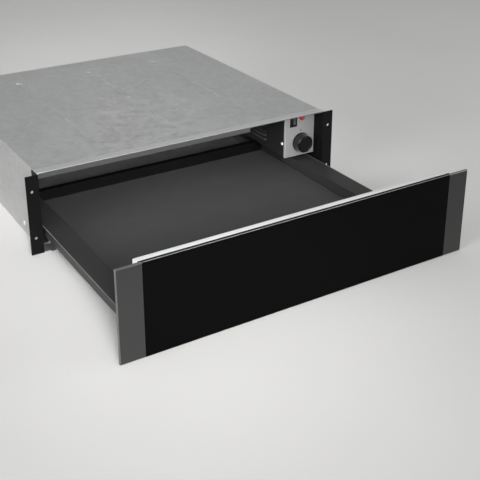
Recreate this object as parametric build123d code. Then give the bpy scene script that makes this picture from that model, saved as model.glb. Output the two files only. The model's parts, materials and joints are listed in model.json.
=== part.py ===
"""Built-in warming drawer with a black glass front, shown pulled out of its housing.

Frame: the origin lies on the housing's underside, midway between its sides, in the plane where the front
flanges meet the cabinet. X runs to the right, Y into the cabinet and Z up, all in millimetres.
"""
import os
from math import cos, radians, sin

from build123d import *

# Front panel
front_width = 596.0
front_height = 140.0
front_lift = 1.0
glass_thickness = 4.0
glass_bevel = 0.5
trim_width = 36.5
trim_bevel = 0.9
trim_gap = 0.3
trim_tongue = 10.0
bond_thickness = 1.5
bond_width = 10.0
bond_inset = 3.0
carrier_inset = 29.0
carrier_depth = 8.5
carrier_sheet = 1.0
carrier_lip = 16.0
carrier_rise = 4.0
strip_height = 7.0
strip_depth = 9.0
strip_joint = 3.4
seal_drop = 0.5
strip_inset = 1.0
strip_end_radius = 3.4
strip_edge_radius = 0.8
inner_sheet = 1.2
inner_flange = 9.0
field_margin = 20.0
field_depth = 1.6
field_corner = 9.0

# Tray
tray_inset = 30.4
tray_rear_space = 54.0
tray_sheet = 1.2
ledge_width = 35.5
end_ledge = 12.0
ledge_height = 40.0
recess_depth = 17.4
recess_corner = 5.0
recess_foot = 2.0
rim_radius = 0.8
skirt_height = 14.0
mat_thickness = 1.5
mat_gap = 0.8

# Brackets between front and tray
bracket_inset = 62.0
bracket_width = 44.0
bracket_reach = 62.0
bracket_sheet = 2.0
bracket_bend = 3.0
bracket_foot = 6.0
bracket_screw_pitch = 26.0
screw_head_radius = 3.6
screw_head_height = 2.0
screw_head_bevel = 0.9

# Housing
housing_inset = 24.0
housing_depth = 528.0
housing_height = 138.0
housing_sheet = 1.0
wall_flange = 12.0
closed_stand = 22.0
open_distance = 320.0
bead_width = 14.0
bead_end_margin = 74.0
bead_depth = 1.0
top_bead_margin = 124.0
top_bead_count = 3
base_bead_margin = 79.0
base_bead_count = 4
ceiling_front = 52.0
ceiling_space = 20.4
insulation_gap = 0.5

# Front flanges and top rail
flange_width = 21.0
flange_sheet = 1.5
flange_return = 22.0
flange_margin = 2.0
flange_hole_radius = 2.5
flange_hole_inset = 9.5
flange_hole_height = 30.0
flange_hole_pitch = 80.0
rail_sheet = 1.2
rail_seat_depth = 16.0
lip_drop = 9.5
lip_stop = 158.0
rail_edge_drop = 2.4
rail_bend = 1.0
rail_end_gap = 0.3

# Runners
runner_width = 22.0
runner_height = 9.0
runner_wall = 1.5
runner_slot = 8.0
runner_play = 0.4
runner_web = 5.0
runner_shelf = 9.0
runner_shelf_leg = 14.0
fixed_rail_setback = 12.0
fixed_rail_rear_gap = 65.0
drawer_rail_setback = 6.0
drawer_rail_tail = 25.0
middle_rail_setback = 25.0
rivet_radius = 4.0
rivet_height = 1.3
rivet_bevel = 0.6
rivet_count = 3

# Control box
box_width = 64.0
box_clearance = 9.0
box_sheet = 1.2
fascia_setback = 25.0
fascia_sheet = 1.5
fascia_return = 12.0
fascia_bend = 1.3
fascia_lap = 3.5
fascia_gap = 0.3
louvre_length = 100.0
louvre_start = 64.0
louvre_pitch = 8.5
louvre_count = 4
louvre_rise = 15.0
louvre_slot = 4.0
louvre_reach = 3.6
louvre_sheet = 0.9
intake_gap = 100.0
casing_screw_radius = 3.2
casing_screw_height = 2.0
casing_screw_bevel = 0.9
casing_screw_setback = 10.5
casing_screw_rise = 25.0

# Knob and selector
knob_across = 33.3
knob_rise_ratio = 0.3
knob_radius = 17.8
knob_face_radius = 16.2
knob_length = 16.0
knob_skirt = 2.4
knob_skirt_proud = 0.6
knob_gap = 0.4
knob_edge = 1.4
knob_dish_radius = 13.4
knob_dish = 0.6
knob_socket = 11.0
pointer_width = 1.4
pointer_length = 5.0
pointer_depth = 0.7
shaft_radius = 3.0
shaft_fit = 0.06
shaft_depth = 14.0
selector_width = 34.0
selector_height = 32.0
selector_depth = 28.0
bush_radius = 5.0
hole_clearance = 0.2

# Rocker switch
rocker_across = 16.3
rocker_rise_ratio = 0.793
rocker_width = 8.4
rocker_height = 12.8
rocker_tilt = 7.0
rocker_pivot_depth = 2.5
rocker_crest = 2.0
rocker_valley = 0.8
rocker_root = 6.0
rocker_side_play = 0.8
rocker_end_play = 0.4
rocker_pin_radius = 1.0
rocker_pin_length = 1.2
switch_wall = 1.2
switch_flange = 1.4
switch_flange_sheet = 1.4
switch_depth = 20.0
switch_lug_width = 4.8
switch_lug_length = 8.0
switch_lug_sheet = 0.8
switch_lug_pitch = 5.0

# Indicator lamp
lamp_across = 35.4
lamp_rise_ratio = 0.85
lamp_radius = 5.5
lamp_dome = 2.6
lamp_round = 2.3
lamp_rim = 1.0
lamp_holder_radius = 4.6
lamp_holder_depth = 20.0

# Fan heater
blower_across = 37.0
blower_rise_ratio = 0.575
blower_start = 70.0
blower_length = 106.0
blower_radius = 22.0
blower_gap = 3.0
blade_count = 18
blade_depth = 4.6
blade_camber = 1.3
blade_lead = 2.2
blade_sheet = 0.7
disc_sheet = 1.5
hub_radius = 6.0
hub_length = 8.0
scroll_gap = 3.0
scroll_sheet = 1.0
scroll_from = -20.0
scroll_sweep = 205.0
scroll_top_gap = 6.0
fan_shaft_radius = 2.5
fan_bush_radius = 5.0
fan_bush_length = 4.0
stator_size = 44.0
stator_depth = 20.0
stator_bore = 11.0
stator_air_gap = 0.5
stator_corner = 4.0
coil_width = 28.0
coil_depth = 15.0
coil_floor_gap = 10.0
coil_round_ratio = 0.18
motor_bracket_width = 20.0
motor_bracket_sheet = 2.0
heater_across = 7.0
heater_rise = 16.0
heater_height = 22.0
heater_overrun = 3.2
heater_radius = 3.0
heater_bend = 10.0
heater_pin_radius = 1.2
heater_pin_length = 14.0
heater_plate_height = 50.0
heater_plate_sheet = 1.2
cutout_radius = 8.0
cutout_height = 9.0
cutout_flange = 26.0
cutout_flange_height = 12.0
cutout_gap = 24.0
cutout_rise = 30.0

# Supply and latch at the rear
terminal_width = 40.0
terminal_depth = 22.0
terminal_height = 18.0
terminal_rear_gap = 65.0
terminal_across = 16.0
terminal_ways = 3
terminal_screw_radius = 3.0
terminal_screw_depth = 5.0
gland_across = 40.0
gland_rise_ratio = 0.575
gland_radius = 13.0
gland_neck = 9.0
gland_bore = 4.5
gland_head = 5.0
gland_bevel = 1.6
gland_tail = 8.0
vent_slot_width = 4.0
vent_slot_height = 30.0
vent_pitch = 10.0
vent_count = 12
vent_drop = 20.0
side_vent_start = 40.0
rear_screw_inset = 6.0
rear_screw_rows = 3
latch_inset = 112.0
latch_width = 28.0
latch_height = 20.0
latch_depth = 43.0
latch_radius = 4.0
latch_fit = 0.1
latch_stroke = 8.0
latch_corner = 2.5
latch_tip_bevel = 1.2
latch_engage = 19.0
latch_reserve = 3.0
latch_touch = 0.3
striker_width = 26.0
striker_sheet = 1.5

# Planes and places that follow from the driving dimensions
half_front = front_width / 2
front_bottom = front_lift
front_top = front_bottom + front_height
front_plane = -(closed_stand + open_distance)
glass_back = front_plane + glass_thickness
carrier_front = glass_back + bond_thickness
carrier_back = carrier_front + carrier_depth
carrier_half = half_front - carrier_inset
carrier_bottom = front_bottom + carrier_rise
carrier_top = front_top - strip_height
trim_inner = half_front - trim_width
tongue_inner = trim_inner - trim_tongue

half_housing = half_front - housing_inset
wall_inner = half_housing - housing_sheet
base_top = housing_sheet
top_under = housing_height - housing_sheet
rear_inner = housing_depth - housing_sheet
ceiling_top = top_under - ceiling_space
ceiling_under = ceiling_top - housing_sheet
flange_outer = wall_inner + flange_width

tray_half = half_front - tray_inset
tray_front = carrier_back
tray_rear = rear_inner - tray_rear_space - open_distance
ledge_top = front_bottom + ledge_height
ledge_under = ledge_top - tray_sheet
recess_half = tray_half - ledge_width
recess_front = tray_front + end_ledge
recess_rear = tray_rear - end_ledge
mat_top = ledge_top - recess_depth
floor_top = mat_top - mat_thickness
floor_under = floor_top - tray_sheet
skirt_bottom = ledge_top - skirt_height
bracket_place = recess_half - bracket_inset

runner_middle = (tray_half + recess_half) / 2
shelf_top = runner_shelf + runner_wall
fixed_rail_top = shelf_top + runner_height
drawer_rail_bottom = ledge_under - runner_height
fixed_rail_back = rear_inner - fixed_rail_rear_gap
middle_rail_front = fixed_rail_setback + middle_rail_setback - open_distance / 2
middle_rail_back = fixed_rail_back - middle_rail_setback - open_distance / 2

box_left = wall_inner - box_width
box_bottom = ledge_top + box_clearance
box_floor = box_bottom + box_sheet
box_height = top_under - box_bottom
fascia_back = fascia_setback + fascia_sheet
knob_x = box_left + knob_across
knob_z = box_bottom + knob_rise_ratio * box_height
rocker_x = box_left + rocker_across
rocker_z = box_bottom + rocker_rise_ratio * box_height
rocker_pivot_y = fascia_setback + rocker_pivot_depth
lamp_x = box_left + lamp_across
lamp_z = box_bottom + lamp_rise_ratio * box_height
blower_x = box_left + blower_across
blower_z = box_bottom + blower_rise_ratio * box_height
blower_front = fascia_back + blower_start
blower_back = blower_front + blower_length
scroll_front = blower_front - blower_gap - scroll_sheet
scroll_back = blower_back + blower_gap + scroll_sheet
motor_back = scroll_back + stator_depth
scroll_reach = blower_radius + scroll_gap + scroll_sheet
fan_bush_back = blower_front - blower_gap / 2
gland_x = box_left + gland_across
gland_z = box_bottom + gland_rise_ratio * box_height
latch_place = latch_inset - recess_half
closed_striker = tray_rear + striker_sheet + open_distance
latch_z = skirt_bottom + latch_radius + (skirt_height - 2 * latch_radius) / 2
latch_face = rear_inner - latch_depth


# Shared forms
def block(x, y, z):
    """A box between a low and a high value on each axis."""
    spans = (x, y, z)
    centre = [(low + high) / 2 for low, high in spans]
    return Pos(*centre) * Box(*[high - low for low, high in spans])


def rod_y(x, z, radius, y):
    """A round bar along Y."""
    return Pos(x, (y[0] + y[1]) / 2, z) * Rot(90, 0, 0) * Cylinder(radius, y[1] - y[0])


def rod_x(y, z, radius, x):
    """A round bar along X."""
    return Pos((x[0] + x[1]) / 2, y, z) * Rot(0, 90, 0) * Cylinder(radius, x[1] - x[0])


def along_y(face_points, y):
    """A prism along Y whose section is given by X and Z points."""
    outline = Polyline(*[(px, y[0], pz) for px, pz in face_points], close=True)
    return extrude(make_face(outline), amount=y[1] - y[0], dir=(0, 1, 0))


def domed(head, axis, place, bevel):
    """A round head whose outer edge, the first or last face along an axis, is bevelled."""
    return chamfer(head.faces().sort_by(axis)[place].edges(), bevel)


def upright(solid, radius):
    """Rounds the four upright edges of a block."""
    return fillet(solid.edges().filter_by(Axis.Z), radius)


def both_sides(right, name):
    """A right-hand piece and its mirror image, under the two names."""
    return {name + "_right": right, name + "_left": mirror(right, about=Plane.YZ)}


# Drawer front
def front_glass():
    edge = trim_inner - trim_gap
    pane = block((-edge, edge), (front_plane, glass_back), (front_bottom, front_top))
    return chamfer(pane.faces().sort_by(Axis.Y)[0].edges(), glass_bevel)


def trim():
    """End trim, with a tongue that lies behind the glass."""
    plate = block((trim_inner, half_front), (front_plane, glass_back), (front_bottom, front_top))
    face_edges = plate.faces().sort_by(Axis.Y)[0].edges()
    plate = chamfer(face_edges.sort_by(Axis.X)[1:], trim_bevel)
    tongue = block((tongue_inner, carrier_half), (glass_back, carrier_front), (carrier_bottom, carrier_top))
    return plate + tongue


def bond_strips():
    """Adhesive strips between glass and carrier, and the dark seal in front of the top strip."""
    half = tongue_inner - bond_inset
    low = carrier_bottom + bond_inset
    high = carrier_top - bond_inset
    spans = ((low, low + bond_width), (high - bond_width, high))
    strips = [block((-half, half), (glass_back, carrier_front), span) for span in spans]
    seal_half = carrier_half - strip_inset - strip_end_radius
    seal = block((-seal_half, seal_half), (glass_back, glass_back + strip_joint),
                 (carrier_top, front_top - seal_drop))
    return strips + [seal]


def front_carrier():
    """Folded box behind the glass, open to the front inside its lips."""
    shell = block((-carrier_half, carrier_half), (carrier_front, carrier_back), (carrier_bottom, carrier_top))
    inside = carrier_half - carrier_sheet
    hollow = block((-inside, inside), (carrier_front + carrier_sheet, carrier_back - carrier_sheet),
                   (carrier_bottom + carrier_sheet, carrier_top - carrier_sheet))
    window_half = carrier_half - carrier_lip
    window = block((-window_half, window_half), (carrier_front, carrier_front + carrier_sheet),
                   (carrier_bottom + carrier_lip, carrier_top - carrier_lip))
    return shell - hollow - window


def top_strip():
    """Slim bright strip with round ends, behind the glass and on the carrier."""
    half = carrier_half - strip_inset
    front = glass_back + strip_joint
    bar = block((-half, half), (front, front + strip_depth), (carrier_top, front_top))
    bar = upright(bar, strip_end_radius)
    return fillet(bar.faces().sort_by(Axis.Z)[-1].edges(), strip_edge_radius)


def pressed_field(margin, y, corner):
    """Rounded block set in from the edges of the inner panel."""
    half = tray_half - margin
    field = block((-half, half), y, (ledge_top + margin, carrier_top - margin))
    return fillet(field.edges().filter_by(Axis.Y), corner)


def inner_panel():
    """Inner face of the front, with a pressed field and a foot flange on the tray's front ledge."""
    front = carrier_back
    sheet = block((-tray_half, tray_half), (front, front + inner_sheet), (ledge_top, carrier_top))
    field = pressed_field(field_margin, (front, front + inner_sheet + field_depth), field_corner)
    hollow = pressed_field(field_margin + inner_sheet, (front, front + field_depth),
                           field_corner - inner_sheet)
    foot = block((-tray_half, tray_half), (front, front + inner_flange), (ledge_top, ledge_top + inner_sheet))
    return sheet + field + foot - hollow


# Tray
def tray():
    """Folded pan: ledges all round, a recess with rounded corners and skirts at the sides and rear."""
    ledge = block((-tray_half, tray_half), (tray_front, tray_rear), (ledge_under, ledge_top))
    tub_half = recess_half + tray_sheet
    tub = block((-tub_half, tub_half), (recess_front - tray_sheet, recess_rear + tray_sheet),
                (floor_under, ledge_top))
    tub = upright(tub, recess_corner + tray_sheet)
    tub = fillet(tub.faces().sort_by(Axis.Z)[0].edges(), recess_foot + tray_sheet)
    recess = block((-recess_half, recess_half), (recess_front, recess_rear), (floor_top, ledge_top))
    recess = upright(recess, recess_corner)
    recess = fillet(recess.faces().sort_by(Axis.Z)[0].edges(), recess_foot)
    skirt = (skirt_bottom, ledge_under)
    side_skirt = block((tray_half - tray_sheet, tray_half), (tray_front, tray_rear), skirt)
    rear_skirt = block((-recess_half, recess_half), (tray_rear - tray_sheet, tray_rear), skirt)
    pan = ledge + tub + side_skirt + mirror(side_skirt, about=Plane.YZ) + rear_skirt - recess
    rim = pan.faces().filter_by(Axis.Z).sort_by(Axis.Z)[-1].inner_wires()[0].edges()
    return fillet(rim, rim_radius)


def floor_mat():
    half = recess_half - mat_gap - recess_foot
    setback = mat_gap + recess_foot
    mat = block((-half, half), (recess_front + setback, recess_rear - setback), (floor_top, mat_top))
    return upright(mat, recess_corner - recess_foot)


def front_bracket():
    """Angle under the tray that carries the front."""
    x = (bracket_place - bracket_width / 2, bracket_place + bracket_width / 2)
    low = front_bottom + bracket_foot
    under = floor_under - bracket_sheet
    inside = carrier_back + bracket_sheet
    upright_leg = block(x, (carrier_back, inside), (low, floor_under))
    flat_leg = block(x, (carrier_back, carrier_back + bracket_reach), (under, floor_under))
    angle = upright_leg + flat_leg
    bend = angle.edges().filter_by(Axis.X).sort_by_distance((bracket_place, inside, under))[0]
    return fillet(bend, bracket_bend)


def bracket_screws():
    """Pan-head screws under each bracket's flat leg."""
    y = carrier_back + bracket_reach - bracket_screw_pitch / 2
    top = floor_under - bracket_sheet
    heads = []
    for side in (-1, 1):
        for step in (-0.5, 0.5):
            x = side * bracket_place + step * bracket_screw_pitch
            head = Pos(x, y, top - screw_head_height / 2) * Cylinder(screw_head_radius, screw_head_height)
            heads.append(domed(head, Axis.Z, 0, screw_head_bevel))
    return heads


def striker_plate():
    return block((latch_place - striker_width / 2, latch_place + striker_width / 2),
                 (tray_rear, tray_rear + striker_sheet), (skirt_bottom, ledge_top))


# Runners
def channel(seat, mouth, y):
    """Rolled channel from its seat level towards its mouth, which has two in-turned lips."""
    turn = 1 if mouth > seat else -1
    half = runner_width / 2
    inside = half - runner_wall
    floor = seat + turn * runner_wall
    lip = mouth - turn * runner_wall
    gap = runner_slot / 2
    right = [(half, seat), (half, mouth), (gap, mouth), (gap, lip), (inside, lip), (inside, floor)]
    left = [(-px, pz) for px, pz in reversed(right)]
    return along_y([(runner_middle + px, pz) for px, pz in right + left], y)


def drawer_rail():
    y = (tray_front + drawer_rail_setback, tray_rear - drawer_rail_tail)
    return channel(ledge_under, drawer_rail_bottom, y)


def fixed_rail():
    """Channel on an angle that is riveted to the side wall."""
    y = (fixed_rail_setback, fixed_rail_back)
    shelf = block((runner_middle - runner_width / 2, wall_inner), y, (runner_shelf, shelf_top))
    leg = block((wall_inner - runner_wall, wall_inner), y, (runner_shelf, runner_shelf + runner_shelf_leg))
    return channel(shelf_top, fixed_rail_top, y) + shelf + leg


def middle_rail():
    """Double-headed rail that runs in both channels."""
    y = (middle_rail_front, middle_rail_back)
    head_half = runner_width / 2 - runner_wall - runner_play
    inset = runner_wall + runner_play
    lower = block((runner_middle - head_half, runner_middle + head_half), y,
                  (shelf_top + inset, fixed_rail_top - inset))
    upper = block((runner_middle - head_half, runner_middle + head_half), y,
                  (drawer_rail_bottom + inset, ledge_under - inset))
    web = block((runner_middle - runner_web / 2, runner_middle + runner_web / 2), y,
                (fixed_rail_top - inset, drawer_rail_bottom + inset))
    return lower + web + upper


def runner_rivets():
    """Rivet heads on the outside of the side walls."""
    z = runner_shelf + runner_wall + (runner_shelf_leg - runner_wall) / 2
    pitch = (fixed_rail_back - fixed_rail_setback) / rivet_count
    heads = []
    for side in (-1, 1):
        for number in range(rivet_count):
            y = fixed_rail_setback + pitch * (number + 0.5)
            x = sorted((side * half_housing, side * (half_housing + rivet_height)))
            head = rod_x(y, z, rivet_radius, x)
            heads.append(domed(head, Axis.X, 0 if side < 0 else -1, rivet_bevel))
    return heads


# Housing
def bead(x, y, z, width):
    """A pressed stiffening bead with round ends, running along Y."""
    outline = Pos(x, (y[0] + y[1]) / 2, z[0]) * Rot(0, 0, 90) * SlotOverall(y[1] - y[0], width)
    return extrude(outline, amount=z[1] - z[0])


def beaded_sheet(sheet, count, margin, outer, inward):
    """Presses beads into a flat sheet, from its outer level towards the inside."""
    y = (bead_end_margin, housing_depth - bead_end_margin)
    for x in spread(count, 2 * (half_housing - margin) / (count - 1)):
        ridge_ends = (y[0] - housing_sheet, y[1] + housing_sheet)
        ridge = sorted((outer, outer + inward * (bead_depth + housing_sheet)))
        groove = sorted((outer, outer + inward * bead_depth))
        sheet = sheet + bead(x, ridge_ends, ridge, bead_width + 2 * housing_sheet)
        sheet = sheet - bead(x, y, groove, bead_width)
    return sheet


def spread(count, pitch):
    """Places evenly spaced about zero."""
    return [(number - (count - 1) / 2) * pitch for number in range(count)]


def base_pan():
    sheet = block((-half_housing, half_housing), (-flange_sheet, housing_depth), (0, base_top))
    return beaded_sheet(sheet, base_bead_count, base_bead_margin, 0, 1)


def top_plate():
    sheet = block((-half_housing, half_housing), (0, housing_depth), (top_under, housing_height))
    return beaded_sheet(sheet, top_bead_count, top_bead_margin, housing_height, -1)


def side_wall():
    """Upright sheet with flanges turned in at the top and bottom."""
    wall = block((wall_inner, half_housing), (0, rear_inner), (base_top, top_under))
    turned = (half_housing - wall_flange, wall_inner)
    foot = block(turned, (0, rear_inner), (base_top, base_top + housing_sheet))
    head = block(turned, (0, rear_inner), (top_under - housing_sheet, top_under))
    return wall + foot + head


def vented_side_wall():
    """Right side wall, with cooling slots beside the controls."""
    high = top_under - vent_drop
    wall = side_wall()
    for number in range(vent_count):
        y = side_vent_start + number * vent_pitch
        wall -= block((wall_inner, half_housing), (y, y + vent_slot_width), (high - vent_slot_height, high))
    return wall


def rear_wall():
    wall = block((-half_housing, half_housing), (rear_inner, housing_depth), (base_top, top_under))
    wall -= rod_y(gland_x, gland_z, gland_neck + hole_clearance, (rear_inner, housing_depth))
    high = top_under - vent_drop
    for x in spread(vent_count, vent_pitch):
        wall -= block((x, x + vent_slot_width), (rear_inner, housing_depth), (high - vent_slot_height, high))
    return wall


def rear_screws():
    x = half_housing - rear_screw_inset
    span = top_under - base_top - 2 * rear_screw_inset
    heads = []
    for side in (-1, 1):
        for z in spread(rear_screw_rows, span / (rear_screw_rows - 1)):
            head = rod_y(side * x, (top_under + base_top) / 2 + z, screw_head_radius,
                         (housing_depth, housing_depth + screw_head_height))
            heads.append(domed(head, Axis.Y, -1, screw_head_bevel))
    return heads


def ceiling_plate():
    """Sheet over the drawer, turned up at the front to close the insulation in."""
    sheet = block((-wall_inner, box_left), (ceiling_front, rear_inner), (ceiling_under, ceiling_top))
    front = block((-half_housing + wall_flange, box_left), (ceiling_front, ceiling_front + housing_sheet),
                  (ceiling_top, top_under))
    return sheet + front


def insulation_mat():
    edge = half_housing - wall_flange - insulation_gap
    return block((-edge, box_left - insulation_gap),
                 (ceiling_front + housing_sheet + insulation_gap, rear_inner - insulation_gap),
                 (ceiling_top, top_under - bead_depth - insulation_gap))


def flange():
    """Black angle that meets the cabinet's edge, with two screw holes."""
    z = (flange_margin, top_under)
    face = block((wall_inner, flange_outer), (-flange_sheet, 0), z)
    leg = block((half_housing, half_housing + flange_sheet), (0, flange_return), z)
    for height in (flange_hole_height, flange_hole_height + flange_hole_pitch):
        face -= rod_y(flange_outer - flange_hole_inset, height, flange_hole_radius, (-flange_sheet, 0))
    return face + leg


def front_rail():
    """Bright angle over the top plate's front edge, with a deeper lip on its left part."""
    half = wall_inner - rail_end_gap
    top = housing_height + rail_sheet
    seat = block((-half, half), (-rail_sheet, rail_seat_depth), (housing_height, top))
    edge = block((-half, half), (-rail_sheet, 0), (top - rail_edge_drop, housing_height))
    lip = block((-half, half - lip_stop), (-rail_sheet, 0), (top - lip_drop, housing_height))
    angle = seat + edge + lip
    bend = angle.edges().filter_by(Axis.X).sort_by_distance((0, -rail_sheet, top))[0]
    return fillet(bend, rail_bend)


# Control box
def louvre(y, z):
    """A pressed hood over one slot, open downwards, with closed ends."""
    low = z - louvre_slot
    tip = box_left - louvre_reach
    strip = [(box_left, z), (tip, low), (tip + louvre_sheet, low), (box_left, z - louvre_sheet)]
    end = [(box_left, z), (tip, low), (box_left, low)]
    hood = along_y(strip, y)
    hood += along_y(end, (y[0], y[0] + louvre_sheet))
    hood += along_y(end, (y[1] - louvre_sheet, y[1]))
    return hood


def control_casing():
    """Dark sheet casing: a side with two fields of louvres and a floor over the right ledge."""
    y = (fascia_back, rear_inner)
    casing = block((box_left, box_left + box_sheet), y, (box_bottom, top_under))
    casing += block((box_left, wall_inner), y, (box_bottom, box_floor))
    for start in (louvre_start, louvre_start + louvre_length + intake_gap):
        run = (fascia_back + start, fascia_back + start + louvre_length)
        for number in range(louvre_count):
            z = box_bottom + louvre_rise + louvre_pitch * number + louvre_slot
            casing -= block((box_left, box_left + box_sheet), (run[0] + louvre_sheet, run[1] - louvre_sheet),
                            (z - louvre_slot, z - louvre_sheet))
            casing += louvre(run, z)
    return casing


def casing_screws():
    """Bright screws that hold the casing to the fascia and to the blower."""
    z = box_bottom + casing_screw_rise
    heads = []
    for y in (fascia_back + casing_screw_setback, scroll_back + casing_screw_setback):
        head = rod_x(y, z, casing_screw_radius, (box_left - casing_screw_height, box_left))
        heads.append(domed(head, Axis.X, 0, casing_screw_bevel))
    return heads


def switch_case_half():
    """Half width and half height of the switch case that passes through the fascia."""
    half_x = rocker_width / 2 + rocker_side_play + switch_wall
    half_z = rocker_height / 2 + rocker_end_play + rocker_pin_length + switch_wall
    return half_x, half_z


def control_fascia():
    """Light panel folded back at both ends: over the casing at the left, along the side wall at the right."""
    left = box_left - fascia_sheet
    right = wall_inner - fascia_gap
    top = top_under - housing_sheet - fascia_gap
    plate = block((box_left, right), (fascia_setback, fascia_back), (box_bottom, top))
    plate += block((left, box_left), (fascia_setback, fascia_back + fascia_lap), (box_bottom, top))
    bends = plate.edges().filter_by(Axis.Z).group_by(Axis.Y)[0]
    outer = [bends.sort_by(Axis.X)[0], bends.sort_by(Axis.X)[-1]]
    plate = fillet(outer, fascia_bend)
    plate += block((right - fascia_sheet, right), (fascia_back, fascia_back + fascia_return),
                   (box_floor, top))
    y = (fascia_setback, fascia_back)
    plate -= rod_y(knob_x, knob_z, bush_radius + hole_clearance, y)
    plate -= rod_y(lamp_x, lamp_z, lamp_holder_radius + hole_clearance, y)
    half_x, half_z = switch_case_half()
    cut_x = half_x + hole_clearance
    cut_z = half_z + hole_clearance
    plate -= block((rocker_x - cut_x, rocker_x + cut_x), y, (rocker_z - cut_z, rocker_z + cut_z))
    return plate


def knob():
    """Turned knob with a skirt, a slightly tapered grip, a dished face and a pointer notch."""
    back = fascia_setback - knob_gap
    face = back - knob_length
    skirt = knob_radius + knob_skirt_proud
    outline = Polyline((0, back), (skirt, back), (skirt, back - knob_skirt), (knob_radius, back - knob_skirt),
                       (knob_face_radius, face), (knob_dish_radius, face),
                       (knob_dish_radius - knob_dish, face + knob_dish), (0, face + knob_dish), close=True)
    body = revolve(make_face(outline), axis=Axis.Y)
    rim = body.edges().filter_by(GeomType.CIRCLE).group_by(Axis.Y)[0].sort_by(SortBy.RADIUS)[-1]
    body = Pos(knob_x, 0, knob_z) * fillet(rim, knob_edge)
    body -= rod_y(knob_x, knob_z, shaft_radius + shaft_fit, (back - knob_socket, back))
    notch_top = knob_z + knob_face_radius
    notch = block((knob_x - pointer_width / 2, knob_x + pointer_width / 2),
                  (face, face + pointer_depth + knob_dish), (notch_top - pointer_length, notch_top))
    return body - notch


def knob_shaft():
    back = fascia_setback - knob_gap
    return rod_y(knob_x, knob_z, shaft_radius, (back - knob_socket, fascia_back + shaft_depth))


def selector_body():
    """Rotary selector behind the fascia, with the bush that its shaft turns in."""
    body = block((knob_x - selector_width / 2, knob_x + selector_width / 2),
                 (fascia_back, fascia_back + selector_depth),
                 (knob_z - selector_height / 2, knob_z + selector_height / 2))
    body += rod_y(knob_x, knob_z, bush_radius, (fascia_setback, fascia_back))
    bore_end = fascia_back + shaft_depth + knob_gap
    return body - rod_y(knob_x, knob_z, shaft_radius + shaft_fit, (fascia_setback, bore_end))


def switch_body():
    """Snap-in switch case with its front frame, rocker pocket, pivot holes and lugs."""
    half_x, half_z = switch_case_half()
    x = (rocker_x - half_x, rocker_x + half_x)
    z = (rocker_z - half_z, rocker_z + half_z)
    frame_front = fascia_setback - switch_flange_sheet
    case = block(x, (frame_front, fascia_setback + switch_depth), z)
    frame = block((x[0] - switch_flange, x[1] + switch_flange), (frame_front, fascia_setback),
                  (z[0] - switch_flange, z[1] + switch_flange))
    case = case + chamfer(frame.faces().sort_by(Axis.Y)[0].edges(), switch_flange / 2)
    pocket_x = rocker_width / 2 + rocker_side_play
    pocket_z = rocker_height / 2 + rocker_end_play
    pocket_back = rocker_pivot_y + rocker_root + rocker_side_play
    case -= block((rocker_x - pocket_x, rocker_x + pocket_x), (frame_front, pocket_back),
                  (rocker_z - pocket_z, rocker_z + pocket_z))
    hole_end = rocker_height / 2 + rocker_pin_length + rocker_end_play
    case -= Pos(rocker_x, rocker_pivot_y, rocker_z) * Cylinder(rocker_pin_radius + shaft_fit, 2 * hole_end)
    for step in (-1, 0, 1):
        lug_z = rocker_z + step * switch_lug_pitch
        case += block((rocker_x - switch_lug_width / 2, rocker_x + switch_lug_width / 2),
                      (fascia_setback + switch_depth, fascia_setback + switch_depth + switch_lug_length),
                      (lug_z - switch_lug_sheet / 2, lug_z + switch_lug_sheet / 2))
    return case


def rocker():
    """Rocker with a shallow V face, tilted with its left half pressed in, and its two pivot pins."""
    half = rocker_width / 2
    front = -rocker_pivot_depth - rocker_crest
    low = rocker_z - rocker_height / 2
    outline = Polyline((-half, front), (0, -rocker_pivot_depth - rocker_valley), (half, front), (half, 0),
                       (half / 2, rocker_root), (-half / 2, rocker_root), (-half, 0), close=True)
    body = extrude(make_face(outline), amount=rocker_height)
    pins = Pos(0, 0, rocker_height / 2) * Cylinder(rocker_pin_radius, rocker_height + 2 * rocker_pin_length)
    return Pos(rocker_x, rocker_pivot_y, low) * Rot(0, 0, -rocker_tilt) * (body + pins)


def lamp_lens():
    """Domed lens on the face of the fascia."""
    seat = fascia_setback - lamp_rim
    rim = rod_y(lamp_x, lamp_z, lamp_radius, (seat, fascia_setback))
    dome = rod_y(lamp_x, lamp_z, lamp_holder_radius, (seat - lamp_dome, seat))
    dome = fillet(dome.faces().sort_by(Axis.Y)[0].edges(), lamp_round)
    return rim + dome


def lamp_holder():
    return rod_y(lamp_x, lamp_z, lamp_holder_radius, (fascia_setback, fascia_setback + lamp_holder_depth))


# Fan heater in the control box
def about_blower(angle, radius):
    """A point on a circle round the blower's axis, as X and Z."""
    return blower_x + radius * cos(radians(angle)), blower_z + radius * sin(radians(angle))


def scroll_arc(radius, flip):
    """Arc of the scroll from its first angle to its last, or back again."""
    angles = (scroll_from, scroll_from + scroll_sweep / 2, scroll_from + scroll_sweep)
    points = [(px, scroll_front, pz) for px, pz in (about_blower(a, radius) for a in angles)]
    return ThreePointArc(*(reversed(points) if flip else points))


def blower_scroll():
    """Two end plates on the box floor and the curved sheet between them."""
    first = scroll_arc(scroll_reach, False)
    last = scroll_arc(scroll_reach - scroll_sheet, True)
    face = make_face(Curve() + [first, Line(first @ 1, last @ 0), last, Line(last @ 1, first @ 0)])
    sheet = extrude(face, amount=scroll_back - scroll_front, dir=(0, 1, 0))
    x = (blower_x - scroll_reach, blower_x + scroll_reach)
    z = (box_floor, top_under - scroll_top_gap)
    front = (scroll_front, scroll_front + scroll_sheet)
    back = (scroll_back - scroll_sheet, scroll_back)
    for y, hole in ((front, fan_bush_radius + shaft_fit), (back, stator_bore)):
        sheet += block(x, y, z) - rod_y(blower_x, blower_z, hole, y)
    return sheet


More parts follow.
